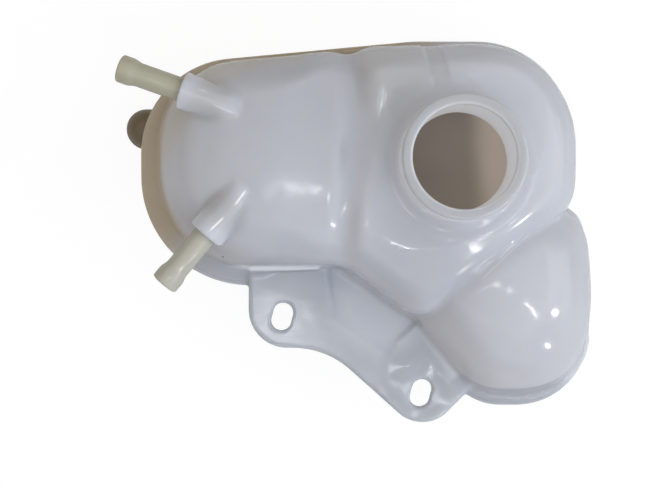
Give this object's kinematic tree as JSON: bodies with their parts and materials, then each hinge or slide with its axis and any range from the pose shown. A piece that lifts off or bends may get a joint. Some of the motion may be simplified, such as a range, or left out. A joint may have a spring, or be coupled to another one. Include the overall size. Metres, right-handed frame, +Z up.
{
  "type": "coolant expansion tank",
  "caption": "Translucent blow-moulded coolant tank with a filler neck, rounded lobes, a pinched bracket with fixing slots, small hose spigots and an outlet elbow.",
  "frame": {"origin": "on the axis of the filler neck, in the plane of the flat base", "axes": "+Z up the filler neck, +X towards the right lobe, away from the small spigots, +Y towards the back edge, away from the bracket"},
  "size_m": [0.2224, 0.1791, 0.122],
  "materials": {
    "translucent_shell": "translucent, soft gloss",
    "cream_nylon": "satin",
    "brown_nylon": "satin"
  },
  "bodies": {
    "root": {"tank_body": "translucent_shell", "upper_spigot": "cream_nylon", "lower_spigot": "cream_nylon", "outlet_elbow": "brown_nylon"}
  },
  "joints": []
}
